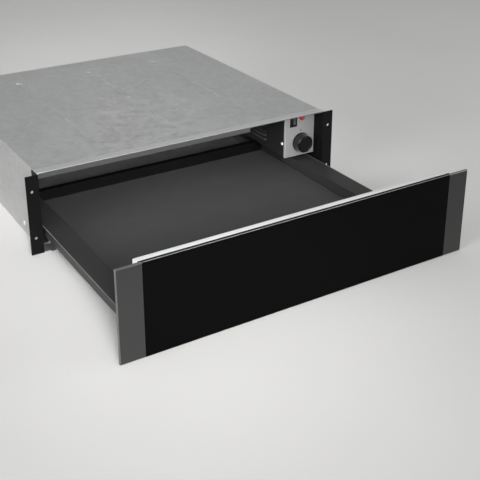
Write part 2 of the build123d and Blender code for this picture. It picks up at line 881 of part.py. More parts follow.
def blower_bush():
    y = (fan_bush_back - fan_bush_length, fan_bush_back)
    bush = rod_y(blower_x, blower_z, fan_bush_radius, y)
    return bush - rod_y(blower_x, blower_z, fan_shaft_radius + shaft_fit, y)


def blower_rotor():
    """Cross-flow rotor: curved blades between two end discs, with a hub on the shaft."""
    inner = blower_radius - blade_depth
    root = (inner, 0)
    crown = (inner + blade_depth / 2, blade_lead / 2 + blade_camber)
    tip = (inner + blade_depth - blade_sheet, blade_lead)
    section = trace(ThreePointArc(root, crown, tip), blade_sheet)
    blade = extrude(section, amount=blower_length)
    standing = (Align.CENTER, Align.CENTER, Align.MIN)
    drum = Cylinder(blower_radius, disc_sheet, align=standing)
    drum += Pos(0, 0, blower_length - disc_sheet) * drum
    drum += Cylinder(hub_radius, hub_length, align=standing)
    drum += [Rot(0, 0, 360 / blade_count * number) * blade for number in range(blade_count)]
    drum -= Cylinder(fan_shaft_radius + shaft_fit, blower_length, align=standing)
    return Pos(blower_x, blower_back, blower_z) * Rot(90, 0, 0) * drum


def blower_shaft():
    """Shaft from the front bush to the motor's rear bracket, with the motor's core on it."""
    shaft = rod_y(blower_x, blower_z, fan_shaft_radius,
                  (fan_bush_back - fan_bush_length, motor_back + motor_bracket_sheet))
    core = rod_y(blower_x, blower_z, stator_bore - stator_air_gap,
                 (scroll_back + blower_gap / 2, motor_back - blower_gap / 2))
    return shaft + core


def motor_stator():
    half = stator_size / 2
    stack = block((blower_x - half, blower_x + half), (scroll_back, motor_back),
                  (blower_z - half, blower_z + half))
    stack = fillet(stack.edges().filter_by(Axis.Y), stator_corner)
    return stack - rod_y(blower_x, blower_z, stator_bore, (scroll_back, motor_back))


def motor_coil():
    top = blower_z - stator_size / 2
    middle = (scroll_back + motor_back) / 2
    low = box_floor + coil_floor_gap
    coil = block((blower_x - coil_width / 2, blower_x + coil_width / 2),
                 (middle - coil_depth / 2, middle + coil_depth / 2), (low, top))
    return fillet(coil.edges().filter_by(Axis.X), coil_round_ratio * (top - low))


def motor_bracket():
    """Bridge across the stator with the rear bearing."""
    half = stator_size / 2
    y = (motor_back, motor_back + motor_bracket_sheet)
    bridge = block((blower_x - motor_bracket_width / 2, blower_x + motor_bracket_width / 2), y,
                   (blower_z - half, blower_z + half))
    bridge = fillet(bridge.edges().filter_by(Axis.Y), stator_corner)
    return bridge - rod_y(blower_x, blower_z, fan_shaft_radius + shaft_fit, y)


def heater_place():
    """X of the heating element, the levels of its two runs, and where its plate ends."""
    low = box_bottom + heater_rise
    return box_left + heater_across, low, low + heater_height, scroll_front + heater_plate_sheet


def heating_element():
    """Tubular hairpin beside the louvres, with its two terminal pins."""
    x, low, high, start = heater_place()
    end = scroll_back + heater_overrun
    corners = ((x, start, low), (x, end, low), (x, end, high), (x, start, high))
    path = FilletPolyline(*corners, radius=heater_bend)
    tube = sweep(Plane(origin=(x, start, low), z_dir=(0, 1, 0)) * Circle(heater_radius), path=path)
    for z in (low, high):
        tube += rod_y(x, z, heater_pin_radius, (start - heater_pin_length, start))
    return tube


def heater_bracket():
    x, low, high, start = heater_place()
    y = (start - heater_plate_sheet, start)
    plate = block((box_left + box_sheet, blower_x - scroll_reach), y,
                  (box_floor, box_floor + heater_plate_height))
    for z in (low, high):
        plate -= rod_y(x, z, heater_pin_radius + 2 * hole_clearance, y)
    return plate


def thermal_cutout():
    """Disc thermostat on the inside of the casing."""
    x = box_left + box_sheet
    y = scroll_back + cutout_gap
    z = box_bottom + cutout_rise
    ears = block((x, x + housing_sheet), (y - cutout_flange / 2, y + cutout_flange / 2),
                 (z - cutout_flange_height / 2, z + cutout_flange_height / 2))
    return ears + rod_x(y, z, cutout_radius, (x, x + cutout_height))


# Supply and latch
def terminal_block():
    x = box_left + terminal_across
    front = rear_inner - terminal_rear_gap
    y = (front, front + terminal_depth)
    top = box_floor + terminal_height
    body = block((x, x + terminal_width), y, (box_floor, top))
    pitch = terminal_width / terminal_ways
    for number in range(terminal_ways):
        well = Pos(x + pitch * (number + 0.5), (y[0] + y[1]) / 2, top - terminal_screw_depth / 2)
        body -= well * Cylinder(terminal_screw_radius, terminal_screw_depth)
    return body


def inlet_gland():
    """Flanged sleeve in the rear wall for the supply lead."""
    head = rod_y(gland_x, gland_z, gland_radius, (housing_depth, housing_depth + gland_head))
    head = domed(head, Axis.Y, -1, gland_bevel)
    sleeve = head + rod_y(gland_x, gland_z, gland_neck, (rear_inner - gland_tail, housing_depth))
    return sleeve - rod_y(gland_x, gland_z, gland_bore, (rear_inner - gland_tail, housing_depth + gland_head))


def latch_body():
    """Push-to-open latch on the rear wall."""
    body = block((latch_place - latch_width / 2, latch_place + latch_width / 2), (latch_face, rear_inner),
                 (latch_z - latch_height / 2, latch_z + latch_height / 2))
    body = fillet(body.edges().filter_by(Axis.Y), latch_corner)
    depth = latch_engage + latch_stroke + latch_reserve
    return body - rod_y(latch_place, latch_z, latch_radius + latch_fit, (latch_face, latch_face + depth))


def latch_plunger():
    tip = closed_striker + latch_touch
    rod = rod_y(latch_place, latch_z, latch_radius, (tip, latch_face + latch_engage))
    return domed(rod, Axis.Y, 0, latch_tip_bevel)


def all_pieces():
    """Every piece by its name."""
    makers = (front_glass, bond_strips, front_carrier, top_strip, inner_panel, tray, floor_mat,
              bracket_screws, striker_plate, runner_rivets, base_pan, top_plate, rear_wall, rear_screws,
              ceiling_plate, insulation_mat, front_rail, control_casing, casing_screws, control_fascia, knob,
              knob_shaft, selector_body, switch_body, rocker, lamp_lens, lamp_holder, blower_scroll,
              blower_bush, blower_rotor, blower_shaft, motor_stator, motor_coil, motor_bracket,
              heating_element, heater_bracket, thermal_cutout, terminal_block, inlet_gland, latch_body,
              latch_plunger)
    pieces = {maker.__name__: maker() for maker in makers}
    for maker in (trim, front_bracket, drawer_rail, fixed_rail, middle_rail, flange):
        pieces.update(both_sides(maker(), maker.__name__))
    pieces["side_wall_left"] = mirror(side_wall(), about=Plane.YZ)
    pieces["side_wall_right"] = vented_side_wall()
    return pieces


os.makedirs("parts", exist_ok=True)
for name, piece in all_pieces().items():
    solid = Compound(children=list(piece)) if isinstance(piece, list) else piece
    export_step(solid, f"parts/{name}.step")
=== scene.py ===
"""Looks of a built-in warming drawer, pulled out of its steel housing, on a pale studio floor.

Lengths are in metres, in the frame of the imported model: X to the right, Y to the back and Z up.
Levels are greys on a screen, from 0 for black to 255 for white.
"""
import json
from math import cos, pi, radians, sin

import bmesh
import bpy
from mathutils import Matrix, Vector


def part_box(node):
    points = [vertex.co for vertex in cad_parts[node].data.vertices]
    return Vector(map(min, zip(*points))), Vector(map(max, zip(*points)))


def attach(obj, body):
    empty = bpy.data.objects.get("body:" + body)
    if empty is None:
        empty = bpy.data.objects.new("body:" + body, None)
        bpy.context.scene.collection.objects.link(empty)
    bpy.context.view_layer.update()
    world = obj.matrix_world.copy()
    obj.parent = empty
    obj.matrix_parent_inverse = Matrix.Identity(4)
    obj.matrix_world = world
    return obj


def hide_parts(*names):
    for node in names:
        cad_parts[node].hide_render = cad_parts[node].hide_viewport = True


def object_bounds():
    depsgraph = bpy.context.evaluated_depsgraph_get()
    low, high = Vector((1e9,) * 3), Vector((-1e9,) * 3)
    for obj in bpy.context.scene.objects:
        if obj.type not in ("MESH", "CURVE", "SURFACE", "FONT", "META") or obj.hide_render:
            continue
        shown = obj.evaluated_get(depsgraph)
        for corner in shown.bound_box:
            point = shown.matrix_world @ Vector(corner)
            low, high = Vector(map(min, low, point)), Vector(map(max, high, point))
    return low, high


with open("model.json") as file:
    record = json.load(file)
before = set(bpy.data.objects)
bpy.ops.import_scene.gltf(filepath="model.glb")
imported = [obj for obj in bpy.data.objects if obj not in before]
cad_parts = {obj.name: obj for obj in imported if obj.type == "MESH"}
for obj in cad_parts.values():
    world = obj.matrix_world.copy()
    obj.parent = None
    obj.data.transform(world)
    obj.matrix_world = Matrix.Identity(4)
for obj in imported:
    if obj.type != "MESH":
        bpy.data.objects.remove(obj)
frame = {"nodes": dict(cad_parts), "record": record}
cad_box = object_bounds()

MM = 0.001
BRUSH_STRETCH = 60
ALONG_X = (BRUSH_STRETCH, 1, 1)
ALONG_Y = (1, BRUSH_STRETCH, 1)
ALONG_Z = (1, 1, BRUSH_STRETCH)
OUT_FRONT = Vector((0, -1, 0))
OUT_BACK = Vector((0, 1, 0))
OUT_LEFT = Vector((-1, 0, 0))
OUT_RIGHT = Vector((1, 0, 0))
OUT_ABOVE = Vector((0, 0, 1))
OUT_BELOW = Vector((0, 0, -1))
METAL_EDGE = 0.4 * MM
WELD_DISTANCE = 0.001 * MM
# Level of the flange's black coat, also used where black is painted as shade.
BLACK_COAT_AND_SHADE = 12


# Shader arithmetic
class Level:
    """A shader socket that takes part in Python arithmetic; each operation adds a Math node."""

    def __init__(self, finish, socket):
        self.finish = finish
        self.socket = socket

    def math(self, operation, *inputs):
        return self.finish.node("ShaderNodeMath", {"operation": operation}, dict(enumerate(inputs)))

    def __add__(self, other):
        return self.math("ADD", self, other)

    def __sub__(self, other):
        return self.math("SUBTRACT", self, other)

    def __rsub__(self, other):
        return self.math("SUBTRACT", other, self)

    def __mul__(self, other):
        return self.math("MULTIPLY", self, other)

    def __lt__(self, other):
        return self.math("LESS_THAN", self, other)

    def __ge__(self, other):
        return 1 - (self < other)

    __radd__ = __add__
    __rmul__ = __mul__

    def __abs__(self):
        return self.math("ABSOLUTE", self)

    def higher(self, other):
        """The higher of two levels."""
        return self.math("MAXIMUM", self, other)

    def swing(self, amount):
        """Goes up and down about nought with a level between nought and one, by an amount in all."""
        return amount * (self - 0.5)

    def turns(self, pitch):
        """Rises from nought to one over each pitch."""
        return self.math("FRACT", self * (1 / pitch))

    def within(self, low, high):
        """Nought at the low value, one at the high value and straight between them."""
        return self.finish.node("ShaderNodeMapRange", {"clamp": True}, {0: self, 1: low, 2: high})


class Finish:
    """One material: a principled surface and the nodes that feed it."""

    def __init__(self, name, **constants):
        self.material = bpy.data.materials.new(name)
        self.material.use_nodes = True
        self.tree = self.material.node_tree
        self.surface = self.tree.nodes["Principled BSDF"]
        self.place = self.node("ShaderNodeTexCoord", output="Object")
        self.wear({key.replace("_", " "): value for key, value in constants.items()})

    def node(self, kind, settings=None, values=None, output=0):
        """Adds a node, sets its settings first and then its sockets, and returns one of its outputs."""
        made = self.tree.nodes.new(kind)
        for name, setting in (settings or {}).items():
            setattr(made, name, setting)
        self.feed(made, values or {})
        return Level(self, made.outputs[output])

    def feed(self, node, values):
        """Links levels to a node's sockets and sets plain values on them."""
        for key, value in values.items():
            if isinstance(value, Level):
                self.tree.links.new(value.socket, node.inputs[key])
            else:
                node.inputs[key].default_value = value

    def wear(self, values):
        """Sets sockets of the surface itself."""
        self.feed(self.surface, values)

    def along(self, axis):
        """The place along one axis of the frame."""
        return self.node("ShaderNodeSeparateXYZ", values={0: self.place}, output=axis)

    def grain(self, size, stretch=(1, 1, 1), detail=2.0):
        """Soft random variation, about a size across and stretched along the axes."""
        scale = [1 / (size * factor) for factor in stretch]
        spot = self.node("ShaderNodeMapping", values={"Vector": self.place, "Scale": scale})
        return self.node("ShaderNodeTexNoise", values={"Vector": spot, "Scale": 1.0, "Detail": detail})

    def voronoi(self, size, output):
        """A texture of many small cells, about a size across."""
        values = {"Vector": self.place, "Scale": 1 / size}
        return self.node("ShaderNodeTexVoronoi", values=values, output=output)

    def cells(self, size):
        """A random level for each small cell."""
        return self.node("ShaderNodeSeparateColor", values={0: self.voronoi(size, "Color")})

    def pips(self, size):
        """The distance to the nearest of many small points, in cell sizes."""
        return self.voronoi(size, "Distance")

    def blend(self, share, first, second):
        """A colour between two colours."""
        return self.node("ShaderNodeMix", {"data_type": "RGBA"}, {0: share, 6: first, 7: second}, output=2)

    def rounded(self, radius):
        """The surface's direction with its edges softened to a small radius."""
        return self.node("ShaderNodeBevel", {"samples": 6}, {"Radius": radius})

    def lean(self, direction):
        """The cosine between the true surface's direction and another one."""
        true = self.node("ShaderNodeNewGeometry", output="True Normal")
        settings = {"operation": "DOT_PRODUCT"}
        return self.node("ShaderNodeVectorMath", settings, {0: true, 1: direction}, output="Value")

    def edges(self, soft):
        """One on the outer edges and nought on the flats."""
        flat, outer_edge = 0.01, 0.25
        return (1 - self.lean(soft)).within(flat, outer_edge)

    def facing(self, direction):
        """How far the surface faces a direction: one straight towards it, nought square to it or away."""
        return self.lean(direction).within(0.0, 1.0)

    def relief(self, height, depth, soft=None):
        """Small height differences, up to a depth."""
        values = {"Height": height, "Distance": depth, "Strength": 1.0}
        if soft:
            values["Normal"] = soft
        return self.node("ShaderNodeBump", values=values)


def screen(*levels):
    """A colour for the shader from screen levels between 0 and 255: one for a grey, three for a colour."""
    linear = [((level / 255 + 0.055) / 1.055) ** 2.4 for level in levels]
    return (*(linear * 3)[:3], 1.0)


def darker(colour, share):
    """A colour with only a share of its light."""
    return (*(part * share for part in colour[:3]), 1.0)


# Finishes that several pieces share
def coated(name, level, gloss, peel, size, rub_and_highlight_lift=1.25, fold=0.5 * MM, highlit=None, shine=0.5, black=None):
    """A coating on sheet metal: fine peel in its relief, cloudy gloss and folds rubbed a little lighter.

    Peel is its relief's depth and size its width, and fold the radius of its folds. A factor says how much
    lighter the folds and the painted highlights are; one mask gives places painted lighter as a highlight,
    and one places painted black as shade.
    """
    finish = Finish(name, Specular_IOR_Level=shine)
    soft = finish.rounded(fold)
    cloud = finish.grain(90 * MM)
    # Folds are rubbed lighter in patches; the highlight mask's places are painted highlights, lighter by
    # the same factor.
    rub = finish.edges(soft) * finish.grain(6 * MM).within(0.1, 0.5)
    if highlit:
        rub = rub.higher(highlit(finish))
    shade = finish.blend(cloud, screen(level * 0.97), screen(level * 1.03))
    shade = finish.blend(rub, shade, screen(level * rub_and_highlight_lift))
    # The black mask's places are painted black as shade.
    if black:
        shade = finish.blend(black(finish), shade, screen(BLACK_COAT_AND_SHADE))
    finish.wear({"Base Color": shade,
                 "Roughness": gloss + cloud.swing(0.08) + finish.grain(8 * MM).swing(0.05),
                 "Normal": finish.relief(finish.grain(size), peel, soft)})
    return finish.material


def brushed(name, level, gloss, stretch):
    """Metal brushed along one axis, with its edges painted lighter as a highlight."""
    finish = Finish(name, Metallic=1.0)
    soft = finish.rounded(METAL_EDGE)
    lines = finish.grain(0.7 * MM, stretch)
    cloud = finish.grain(70 * MM)
    sheen = finish.blend(lines.within(0.3, 0.7), screen(level * 0.95), screen(level * 1.04))
    # Edges are painted lighter as a highlight.
    finish.wear({"Base Color": finish.blend(finish.edges(soft), sheen, screen(level * 1.08)),
                 "Roughness": gloss + lines.swing(0.12) + cloud.swing(0.06),
                 "Normal": finish.relief(lines, 0.004 * MM, soft)})
    return finish.material


def moulded(name, colour, gloss, depth=0.02 * MM, shine=0.5, polished=False):
    """Moulded plastic with a fine spark-eroded texture; a polished one is so on all but its flat front."""
    flat_front = 0.985
    finish = Finish(name, Specular_IOR_Level=shine)
    soft = finish.rounded(0.35 * MM)
    cloud = finish.grain(14 * MM)
    finish.wear({"Base Color": finish.blend(cloud, darker(colour, 0.9), colour),
                 "Roughness": gloss + cloud.swing(0.1),
                 "Normal": finish.relief(finish.grain(0.35 * MM), depth, soft)})
    if polished:
        finish.wear({"Coat Weight": finish.facing(OUT_FRONT) < flat_front})
    return finish.material


def galvanised(name, inward=None):
    """Zinc-coated sheet with a faint spangle and rolling streaks.

    Inward is given for a wall of the housing, whose inner face is painted black as shade.
    """
    level = 196
    inner_face = 0.9
    finish = Finish(name, Metallic=1.0, Specular_IOR_Level=0.12)
    soft = finish.rounded(0.5 * MM)
    spangle = finish.cells(9 * MM) * 0.6 + finish.cells(5 * MM) * 0.4
    streak = finish.grain(2.5 * MM, ALONG_Y)
    cloud = finish.grain(120 * MM, detail=3.0)
    tone = 0.5 * spangle + 0.2 * streak + 0.3 * cloud
    shade = finish.blend(tone, screen(level * 0.9), screen(level * 1.06))
    # Edges are painted lighter as a highlight.
    shade = finish.blend(finish.edges(soft), shade, screen(level * 1.12))
    if inward:
        # The inner face is painted black as shade.
        painted_shade_black = finish.facing(inward) >= inner_face
        shade = finish.blend(painted_shade_black, shade, screen(BLACK_COAT_AND_SHADE))
        finish.wear({"Metallic": 1 - painted_shade_black})
    finish.wear({"Base Color": shade,
                 "Roughness": 0.54 + 0.14 * spangle + cloud.swing(0.08),
                 "Normal": finish.relief(spangle * 0.7 + streak * 0.3, 0.012 * MM, soft)})
    return finish.material


def fibrous(name, colour, size, depth):
    """Matt felted or foamed stuff with loose fibre."""
    finish = Finish(name, Specular_IOR_Level=0.2)
    fibre = 0.5 * finish.grain(size, (9, 1, 1), 4.0) + 0.5 * finish.grain(size, (1, 9, 2), 4.0)
    finish.wear({"Base Color": finish.blend(fibre.within(0.3, 0.7), darker(colour, 0.62), colour),
                 "Roughness": 0.86 + fibre.swing(0.1),
                 "Normal": finish.relief(fibre, depth)})
    return finish.material


def printed(name, level):
    """Screen-printed ink, slightly uneven."""
    finish = Finish(name)
    ink = finish.grain(1.2 * MM)
    finish.wear({"Base Color": finish.blend(ink, screen(level * 0.92), screen(level * 1.05)),
                 "Roughness": 0.5 + ink.swing(0.1),
                 "Normal": finish.relief(ink, 0.004 * MM)})
    return finish.material


# Finishes made for one kind of piece
def black_glass():
    """Polished pane with a black back, a breath of haze, a few specks of dust and a pale front arris."""
    arris_width = 1.6 * MM
    finish = Finish("black glass", Specular_IOR_Level=0.04)
    haze = finish.grain(110 * MM, detail=4.0).within(0.4, 0.75)
    dust = finish.pips(7 * MM) < 0.035
    pane = finish.blend(dust * 0.25, screen(5), screen(90))
    ground = finish.facing(OUT_FRONT) < 0.5
    arris = finish.along("Y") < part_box("front_glass")[0].y + arris_width
    pale = finish.blend(finish.grain(0.6 * MM, ALONG_X), screen(150, 153, 152), screen(168, 171, 170))
    edge = finish.blend(arris, screen(14), pale)
    finish.wear({"Base Color": finish.blend(ground, pane, edge),
                 "Roughness": 0.035 + 0.06 * haze + 0.3 * dust + 0.35 * ground,
                 "Normal": finish.rounded(0.3 * MM)})
    return finish.material


def graphite_trim():
    """Dark anodised end piece, satin, painted lighter at its foot and darker at its head as shade, with its
    bevels painted lighter as a highlight.
    """
    flat_front = 0.95
    foot, head = cad_box[0][2], cad_box[1][2]
    finish = Finish("graphite trim", Metallic=0.85)
    lines = finish.grain(0.5 * MM, ALONG_Z)
    cloud = finish.grain(80 * MM)
    # Painted shade: lighter at the foot and darker at the head.
    painted_fall = finish.along("Z").within(foot, head)
    face = finish.blend(painted_fall * 0.85 + lines * 0.15, screen(78), screen(68))
    # The bevels are painted lighter as a highlight.
    bevel_highlight = finish.facing(OUT_FRONT) < flat_front
    finish.wear({"Base Color": finish.blend(bevel_highlight, face, screen(120)),
                 "Roughness": 0.44 + lines.swing(0.06) + cloud.swing(0.06) - 0.1 * bevel_highlight,
                 "Normal": finish.relief(lines, 0.002 * MM, finish.rounded(METAL_EDGE))})
    return finish.material


def bright_strip():
    """Satin anodised strip, nearly white, with fine lines along it."""
    finish = Finish("bright strip", Metallic=0.35)
    lines = finish.grain(0.6 * MM, ALONG_X)
    cloud = finish.grain(60 * MM)
    finish.wear({"Base Color": finish.blend(lines * 0.6 + cloud * 0.4, screen(208), screen(226)),
                 "Roughness": 0.34 + lines.swing(0.1) + cloud.swing(0.06),
                 "Normal": finish.relief(lines, 0.003 * MM, finish.rounded(METAL_EDGE))})
    return finish.material


def bright_rail():
    """Satin steel angle with a bright top and fold, its front lip painted darker as shade."""
    finish = Finish("bright rail", Metallic=0.8)
    lines = finish.grain(0.7 * MM, ALONG_X)
    # The lip, facing the front, is painted darker as shade.
    lip_shade = finish.facing(OUT_FRONT).within(0.8, 1.0)
    sheen = finish.blend(lines, screen(196), screen(216))
    finish.wear({"Base Color": finish.blend(lip_shade, sheen, screen(126)),
                 "Roughness": 0.36 + lines.swing(0.12),
                 "Normal": finish.relief(lines, 0.004 * MM, finish.rounded(METAL_EDGE))})
    return finish.material


def mat_grey():
    """Anti-slip mat with a fine pebble, a little paler where dishes have slid."""
    finish = Finish("mat grey", Specular_IOR_Level=0.35)
    pebble = finish.pips(1.1 * MM)
    rub = finish.grain(60 * MM, (3, 1, 1), 4.0).within(0.5, 0.8)
    shade = finish.blend(pebble.within(0.1, 0.6), screen(67), screen(63))
    finish.wear({"Base Color": finish.blend(rub * 0.35, shade, screen(74)),
                 "Roughness": 0.62 + finish.grain(30 * MM).swing(0.1) - 0.06 * rub,
                 "Normal": finish.relief(1 - pebble, 0.05 * MM, finish.rounded(0.4 * MM))})
    return finish.material


def two_tone_rocker():
    """Rocker, black on its left half and grey on its right half."""
    low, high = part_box("rocker")
    finish = Finish("rocker plastic", Specular_IOR_Level=0.2)
    left = finish.along("X") < (low.x + high.x) / 2
    finish.wear({"Base Color": finish.blend(left, screen(74), screen(7)),
                 "Roughness": 0.3 + finish.grain(5 * MM).swing(0.1),
                 "Normal": finish.relief(finish.grain(0.3 * MM), 0.008 * MM, finish.rounded(0.3 * MM))})
    return finish.material


def red_lens():
    """Clear red moulding with fine prisms behind its face."""
    prism_pitch = 1.1 * MM
    finish = Finish("red lens", Coat_Weight=0.6, Emission_Color=screen(170, 20, 15), Emission_Strength=0.16)
    band = abs(finish.along("X").turns(prism_pitch) - 0.5)
    finish.wear({"Base Color": finish.blend(band, screen(168, 32, 27), screen(122, 14, 12)),
                 "Roughness": 0.12 + 0.1 * finish.grain(2 * MM),
                 "Normal": finish.relief(band, 0.05 * MM)})
    return finish.material


def plated_steel():
    """Bright plated fasteners with dulled spots."""
    finish = Finish("plated steel", Metallic=0.35)
    spots = finish.grain(1.4 * MM, detail=3.0)
    finish.wear({"Base Color": finish.blend(spots, screen(226), screen(248)),
                 "Roughness": 0.16 + 0.22 * spots,
                 "Normal": finish.relief(spots, 0.006 * MM, finish.rounded(0.2 * MM))})
    return finish.material


def bush_brass():
    """Sintered brass with faint rings round its bore."""
    finish = Finish("bush brass", Metallic=1.0)
    rings = finish.grain(0.4 * MM, (8, 1, 8))
    finish.wear({"Base Color": finish.blend(rings, screen(196, 158, 88), screen(224, 190, 118)),
                 "Roughness": 0.25 + 0.15 * rings,
                 "Normal": finish.relief(rings, 0.01 * MM)})
    return finish.material


def coil_wrap():
    """Woven tape round the motor's winding, varnished amber."""
    tape_width = 3.2 * MM
    finish = Finish("coil wrap", Coat_Weight=0.3)
    lap = finish.along("X").turns(tape_width)
    weave = finish.grain(0.5 * MM, (1, 3, 1))
    cloth = lap * 0.6 + weave * 0.4
    finish.wear({"Base Color": finish.blend(cloth, screen(176, 122, 52), screen(214, 172, 96)),
                 "Roughness": 0.5 + 0.2 * weave,
                 "Normal": finish.relief(lap + weave * 0.4, 0.2 * MM)})
    return finish.material


def stator_steel():
    """Stack of steel laminations, edges blued."""
    lamination = 0.7 * MM
    finish = Finish("stator steel", Metallic=0.9)
    seam = finish.along("Y").turns(lamination).within(0.0, 0.3)
    stain = finish.grain(7 * MM)
    finish.wear({"Base Color": finish.blend(stain, screen(84, 88, 98), screen(128)),
                 "Roughness": 0.38 + 0.2 * stain,
                 "Normal": finish.relief(seam, 0.15 * MM)})
    return finish.material


def element_sheath():
    """Heating element's sheath, dulled and tinted by heat along its length."""
    finish = Finish("element sheath", Metallic=0.9)
    heat = finish.grain(26 * MM, (1, 0.6, 1), 3.0).within(0.35, 0.65)
    finish.wear({"Base Color": finish.blend(heat, screen(104, 92, 82), screen(150, 146, 142)),
                 "Roughness": 0.36 + 0.22 * (1 - heat),
                 "Normal": finish.relief(finish.grain(0.8 * MM), 0.01 * MM)})
    return finish.material


# Places painted lighter as a highlight or black as shade
def tray_fold_highlight(finish):
    """The fold along each side of the tray, painted lighter as a highlight."""
    fold_width = 1.0 * MM
    outside = abs(finish.along("X")) >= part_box("tray")[1].x - fold_width
    return outside * finish.facing(OUT_ABOVE).within(0.02, 0.1)


def rear_painted_shade(finish):
    """The tray's rear wall and the ledge behind it, painted black as shade."""
    clearance = 1.0 * MM
    return finish.along("Y") >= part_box("floor_mat")[1].y + clearance


def left_fold_highlight(finish):
    """The fascia's left return, painted lighter as a highlight."""
    return finish.facing(OUT_LEFT)


def louvre_lip_highlight(finish):
    """The sheared lips of the casing's louvres, painted lighter as a highlight."""
    lip_width = 0.8 * MM
    return finish.along("X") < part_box("control_casing")[0].x + lip_width


# Finish of each node
finishes = {
    "black_glass": black_glass(),
    "graphite_trim": graphite_trim(),
    "bright_strip": bright_strip(),
    "bright_rail": bright_rail(),
    "black_bond": fibrous("black bond", screen(12), size=0.8 * MM, depth=0.05 * MM),
    "tray_grey": coated("tray grey", level=51, gloss=0.42, peel=0.012 * MM, size=1.3 * MM, rub_and_highlight_lift=2.6,
                        highlit=tray_fold_highlight, shine=0.12, black=rear_painted_shade),
    "mat_grey": mat_grey(),
    "zinc_sheet": galvanised("zinc sheet"),
    "zinc_steel": brushed("zinc steel", level=200, gloss=0.34, stretch=ALONG_Y),
    "black_flange": coated("black flange", level=BLACK_COAT_AND_SHADE, gloss=0.52, peel=0.03 * MM, size=0.7 * MM,
                           rub_and_highlight_lift=2.6, shine=0.12),
    "dark_casing": coated("dark casing", level=36, gloss=0.46, peel=0.02 * MM, size=0.8 * MM, rub_and_highlight_lift=2.6,
                          highlit=louvre_lip_highlight),
    "light_fascia": coated("light fascia", level=138, gloss=0.42, peel=0.012 * MM, size=0.7 * MM, rub_and_highlight_lift=1.28,
                           fold=1.2 * MM, highlit=left_fold_highlight),
    "black_plastic": moulded("black plastic", screen(8), gloss=0.16, depth=0.005 * MM, shine=0.22,
                             polished=True),
    "grey_rocker": two_tone_rocker(),
    "red_lens": red_lens(),
    "screw_steel": plated_steel(),
    "rotor_aluminium": brushed("rotor aluminium", level=214, gloss=0.36, stretch=ALONG_Y),
    "bush_brass": bush_brass(),
    "coil_wrap": coil_wrap(),
    "stator_steel": stator_steel(),
    "element_sheath": element_sheath(),
    "white_plastic": moulded("white plastic", screen(228, 228, 222), gloss=0.42),
    "mineral_wool": fibrous("mineral wool", screen(222, 212, 178), size=2.0 * MM, depth=0.5 * MM),
}
for subpart in frame["record"]["subparts"]:
    materials = frame["nodes"][subpart["node"]].data.materials
    materials.clear()
    materials.append(finishes[subpart["material_slot"]])
# The inner faces of the housing's walls are painted black as shade.
inner_faces = {"side_wall_left": OUT_RIGHT, "side_wall_right": OUT_LEFT, "rear_wall": OUT_FRONT}
for node, inward in inner_faces.items():
    frame["nodes"][node].data.materials[0] = galvanised(node.replace("_", " "), inward)
# The blower's scroll is painted dark like the casing, so that the slots in front of it show as shade.
frame["nodes"]["blower_scroll"].data.materials[0] = finishes["dark_casing"]


# Meshes and objects
def mesh_data(name, mesh):
    """Mesh data from a mesh being edited, which is freed."""
    data = bpy.data.meshes.new(name)
    mesh.to_mesh(data)
    mesh.free()
    return data


def in_scene(name, data):
    """A new object of the scene, for a mesh, a lamp or a camera."""
    made = bpy.data.objects.new(name, data)
    bpy.context.scene.collection.objects.link(made)
    return made


def piece(name, mesh, material, body):
    """An object that rides on a body, from a mesh being edited."""
    data = mesh_data(name, mesh)
    data.materials.append(material)
    made = in_scene(name, data)
    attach(made, body)
    return made


def join(mesh, data):
    """Moves mesh data into a mesh being edited."""
    mesh.from_mesh(data)
    bpy.data.meshes.remove(data)


def add_block(mesh, low, high, turn=Matrix.Identity(4)):
    """Adds a box between two corners, then turns it."""
    low, high = Vector(low), Vector(high)
    place = turn @ Matrix.Translation((low + high) / 2) @ Matrix.Diagonal((*(high - low), 1))
    bmesh.ops.create_cube(mesh, size=1.0, matrix=place)


def add_turned(mesh, profile, steps):
    """Adds a form turned about Z, from points given as radius and height."""
    rings = []
    for radius, height in profile:
        if radius == 0:
            rings.append([mesh.verts.new((0, 0, height))])
        else:
            angles = [2 * pi * step / steps for step in range(steps)]
            rings.append([mesh.verts.new((radius * cos(a), radius * sin(a), height)) for a in angles])
    for upper, lower in zip(rings, rings[1:]):
        for step in range(steps):
            following = (step + 1) % steps
            corners = [upper[step % len(upper)], lower[step % len(lower)],
                       lower[following % len(lower)], upper[following % len(upper)]]
            mesh.faces.new(list(dict.fromkeys(corners)))


# Screws and rivets
def loose_heads(node):
    """Lowest and highest corner of each loose solid in a CAD node."""
    mesh = bmesh.new()
    mesh.from_mesh(frame["nodes"][node].data)
    bmesh.ops.remove_doubles(mesh, verts=mesh.verts, dist=WELD_DISTANCE)
    waiting = set(mesh.verts)
    boxes = []
    for first in mesh.verts:
        if first not in waiting:
            continue
        waiting.remove(first)
        reached = [first]
        for vert in reached:
            near = {edge.other_vert(vert) for edge in vert.link_edges} & waiting
            waiting -= near
            reached.extend(near)
        low, high = (Vector([pick(vert.co[axis] for vert in reached) for axis in range(3)])
                     for pick in (min, max))
        boxes.append((low, high))
    mesh.free()
    return boxes


def cut_cross(head, radius, height):
    """Cuts a cross recess into the top of a head's mesh data, and returns the new data."""
    arm, width, depth = radius * 0.56, radius * 0.13, height * 0.62
    cross = bmesh.new()
    for turn in (0, pi / 2):
        corner = (arm, width, height * 2)
        add_block(cross, (-arm, -width, height - depth), corner, Matrix.Rotation(turn, 4, "Z"))
    whole = in_scene("head", head)
    tool = in_scene("cross", mesh_data("cross", cross))
    cut = whole.modifiers.new("recess", "BOOLEAN")
    cut.object = tool
    cut.operation = "DIFFERENCE"
    cut.use_self = True
    bpy.context.view_layer.update()
    seen = whole.evaluated_get(bpy.context.evaluated_depsgraph_get())
    data = bpy.data.meshes.new_from_object(seen)
    for thing in (whole, tool):
        bpy.data.objects.remove(thing)
    return data


